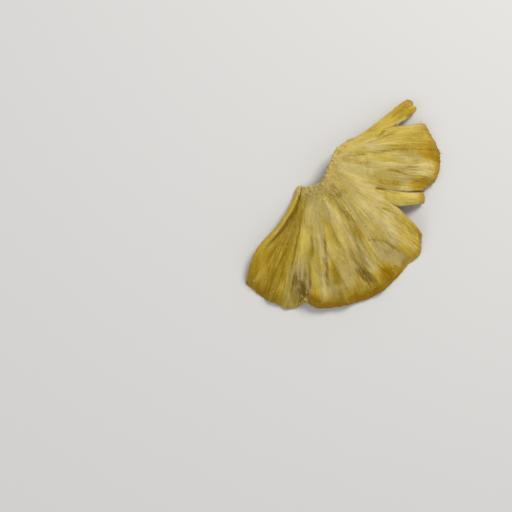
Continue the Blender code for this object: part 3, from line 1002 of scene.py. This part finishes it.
def flesh_material():
    material, tree, shader = new_material("dried_fruit_flesh")
    fibre = attribute(tree, "fibre", "Vector")
    crest, fibrous, window, tone, yellow, gold, amber, grain = (attribute(tree, name) for name in MASKS)
    along = add(tree, "ShaderNodeSeparateXYZ", {"Vector": fibre}).outputs["Y"]
    place = add(tree, "ShaderNodeTexCoord").outputs["Object"]
    blotch = cloudy(tree, place, 1 / (BLOTCH * MM), 4.0, 0.6, 0.6)
    grit = cloudy(tree, place, 1 / (GRIT * MM))
    cloud, broad, fine, hairline = (streaks(tree, fibre, *kind) for kind in (CLOUD, BROAD, FINE, HAIRLINE))

    # Crests of the strands are painted paler and the grooves between them darker: painted shade in the
    # grooves, beside the flesh's own fine streaks.
    lines = weighted(tree, -0.89, (crest, 0.40), (fine, 0.80), (hairline, 0.45), (broad, 0.20))
    lines = times(tree, lines, fibrous)
    spread = weighted(tree, -0.425, (broad, 0.40), (fine, 0.45))
    spread = times(tree, spread, weighted(tree, 0.22, (along, 1.0)))
    tone = weighted(tree, TONE_LEVEL, (tone, 1.0), (lines, 1.0), (spread, 1.0),
                    (cloud, 0.48), (blotch, 0.35), (grit, 0.30))

    flesh, bright, clear, ashen = (ramp(tree, tone, stops) for stops in (FLESH, BRIGHT, CLEAR, ASHEN))
    veil = weighted(tree, -0.72, (tone, 1.0), (blotch, 1.2), (fine, 0.3))
    film_and_shade_beneath = ramp(tree, veil, FILM_AND_SHADE_BENEATH)
    colour = tinted(tree, fibre, BRIGHT_TINT, TINT_STRENGTH[0], flesh, bright)
    colour = tinted(tree, fibre, CLEAR_TINT, TINT_STRENGTH[1], colour, clear)
    dull = add(tree, "ShaderNodeMath", {0: ASHEN_STRENGTH, 1: gold}, operation="SUBTRACT", use_clamp=True)
    colour = tinted(tree, fibre, ASHEN_TINT, dull.outputs[0], colour, ashen)
    colour = mixed(tree, yellow, colour, bright)
    colour = mixed(tree, gold, colour, clear)
    # Windows take their grey, partly the thin flesh's own and partly painted shade of what lies beneath
    colour = mixed(tree, times(tree, window, 0.9), colour, film_and_shade_beneath)
    colour = mixed(tree, times(tree, amber, 0.95), colour, AMBER_FLESH)
    # Grains of the core ring, darker at their edges with painted shade between grains
    grains = add(tree, "ShaderNodeTexVoronoi", {"Vector": place, "Scale": 1 / (0.7 * GRAIN * MM)})
    crumb = ramp(tree, grains.outputs["Distance"], CRUMB_AND_GAP_SHADE)
    colour = mixed(tree, grain, colour, mixed(tree, 0.30, crumb, colour))

    relief = weighted(tree, 0.0, (fine, 1.0), (hairline, 0.5))
    relief = times(tree, relief, weighted(tree, 0.35, (fibrous, 1.0)))
    relief = times(tree, relief, weighted(tree, 0.12, (along, 1.0)))
    bumped = add(tree, "ShaderNodeBump", {"Strength": 0.8, "Distance": BUMP_DEPTH * MM, "Height": relief})
    feed(tree, shader, {
        "Base Color": colour,
        "Roughness": weighted(tree, 0.30, (broad, 0.30), (window, -0.08)),
        "Normal": bumped.outputs[0],
        "Subsurface Weight": 0.5,
        "Subsurface Radius": (1.0, 0.88, 0.45),
        "Subsurface Scale": 0.7 * MM,
        "IOR": 1.45,
        "Specular IOR Level": 0.14,
        "Specular Tint": (1.0, 0.88, 0.40, 1.0),
    })
    return material


def sugar_material():
    material, tree, shader = new_material("sugar_crystals")
    shade = tuple(0.72 * part for part in SUGAR)
    place = add(tree, "ShaderNodeTexCoord").outputs["Object"]
    speckle = cloudy(tree, place, 1 / (2 * MM), roughness=0.5)
    feed(tree, shader, {
        "Base Color": ramp(tree, speckle, ((0.35, shade), (0.65, SUGAR))),
        "Roughness": 0.18,
        "Subsurface Weight": 0.3,
        "Subsurface Radius": (1.0, 0.8, 0.5),
        "Subsurface Scale": 0.2 * MM,
    })
    return material


def placed(name, data, place=(0, 0, 0)):
    """A new object in the scene."""
    made = bpy.data.objects.new(name, data)
    made.location = place
    bpy.context.scene.collection.objects.link(made)
    return made


def shown(name, mesh, material):
    mesh.materials.append(material)
    return placed(name, mesh)


def floor():
    material, tree, shader = new_material("pale_floor")
    feed(tree, shader, {"Base Color": FLOOR_COLOUR, "Roughness": 0.75})
    mesh = bpy.data.meshes.new("floor")
    corners = [(x * FLOOR_REACH, y * FLOOR_REACH, 0) for x, y in ((-1, -1), (1, -1), (1, 1), (-1, 1))]
    mesh.from_pydata(corners, [], [(0, 1, 2, 3)])
    made = shown("floor", mesh, material)
    made.location.z = -FLOOR_GAP * MM


def area_light(name, place, size, power, colour):
    light = bpy.data.lights.new(name, "AREA")
    light.shape = "DISK"
    light.size = size
    light.energy = power
    light.color = colour
    way = Vector(LIT_PLACE) - Vector(place)
    placed(name, light, place).rotation_euler = way.to_track_quat("-Z", "Y").to_euler()


def lighting():
    for light in LIGHTS:
        area_light(*light)
    world = bpy.data.worlds.new("soft_room")
    world.use_nodes = True
    tree = world.node_tree
    feed(tree, tree.nodes["Background"], {"Color": ROOM_COLOUR, "Strength": ROOM_STRENGTH})
    bpy.context.scene.world = world


def camera():
    data = bpy.data.cameras.new("camera")
    data.sensor_width = SENSOR
    data.lens = SENSOR * CAMERA_HEIGHT / PICTURE_WIDTH
    data.clip_start = 0.01
    level = np.array((0.0, 0.0, CAMERA_HEIGHT + SHEET_LEVEL))
    bpy.context.scene.camera = placed("camera", data, (CORE_CENTRE + CORE_TO_MIDDLE + level) * MM)


def main():
    flesh = flesh_material()
    pieces = [
        shown("dried_slice", slice_mesh(), flesh),
        shown("raised_strands", raised_strands(), flesh),
        shown("loose_hairs", loose_hairs(), flesh),
        shown("sugar_grains", sugar_grains(), sugar_material()),
    ]
    for piece in pieces:
        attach(piece, BODY)
        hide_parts(NODE)
    floor()
    lighting()
    camera()
    bpy.context.scene.view_settings.view_transform = "Standard"


main()
